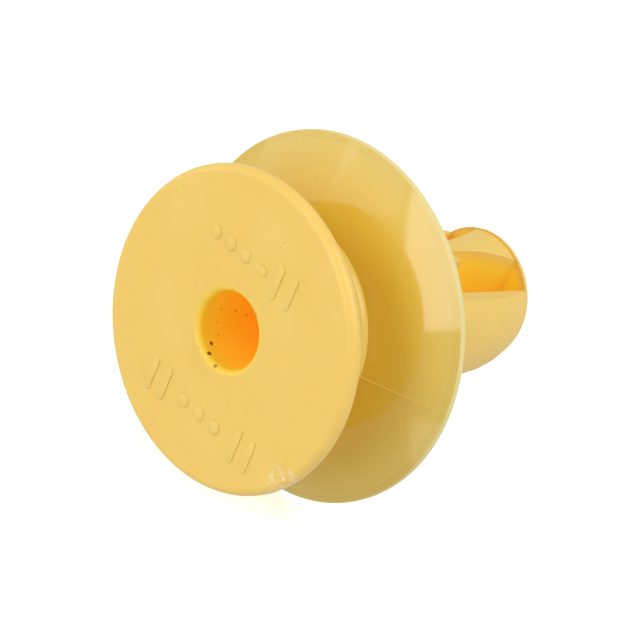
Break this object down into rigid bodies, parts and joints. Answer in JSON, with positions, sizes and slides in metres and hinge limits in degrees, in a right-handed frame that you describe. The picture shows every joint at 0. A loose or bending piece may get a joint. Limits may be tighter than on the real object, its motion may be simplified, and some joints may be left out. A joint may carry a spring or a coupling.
{
  "type": "push-in retainer clip",
  "caption": "Small moulded push-in clip: flat round head with a blind bore, grooved neck, conical sealing skirt and a split snap-in shank with two sprung legs.",
  "frame": {"origin": "on the clip's axis, in the plane where the skirt's rim meets the panel", "axes": "+Y along the axis from the head to the nose, the way the clip is pushed in; the snap legs are at +X and -X and the slots open to +Z and -Z"},
  "size_m": [0.0207, 0.0212, 0.0206],
  "materials": {
    "acetal_yellow": "satin",
    "acetal_yellow_gloss": "gloss"
  },
  "bodies": {
    "root": {"head_plate": "acetal_yellow", "neck": "acetal_yellow_gloss", "skirt_collar": "acetal_yellow_gloss", "skirt": "acetal_yellow_gloss", "shank_hub": "acetal_yellow", "centre_web": "acetal_yellow", "web_cheek_right": "acetal_yellow", "web_cheek_left": "acetal_yellow", "nose_cap": "acetal_yellow"},
    "rim": {"skirt_rim": "acetal_yellow_gloss"},
    "leg_right": {"snap_leg_right": "acetal_yellow"},
    "leg_left": {"snap_leg_left": "acetal_yellow"}
  },
  "joints": [
    {"name": "leg_right_bend", "type": "hinge", "parent": "root", "child": "leg_right", "pos_m": [0.0029, 0.01303, 0], "axis": [0, 0, -1], "range_deg": [0, 7], "stiffness_Nm_per_rad": 0.05},
    {"name": "leg_left_bend", "type": "hinge", "parent": "root", "child": "leg_left", "pos_m": [-0.0029, 0.01303, 0], "axis": [0, 0, 1], "range_deg": [0, 7], "stiffness_Nm_per_rad": 0.05},
    {"name": "skirt_press", "type": "slide", "parent": "root", "child": "rim", "axis": [0, -1, 0], "range_m": [0, 0.0008], "stiffness_N_per_m": 2000, "deforming": ["skirt"]}
  ]
}
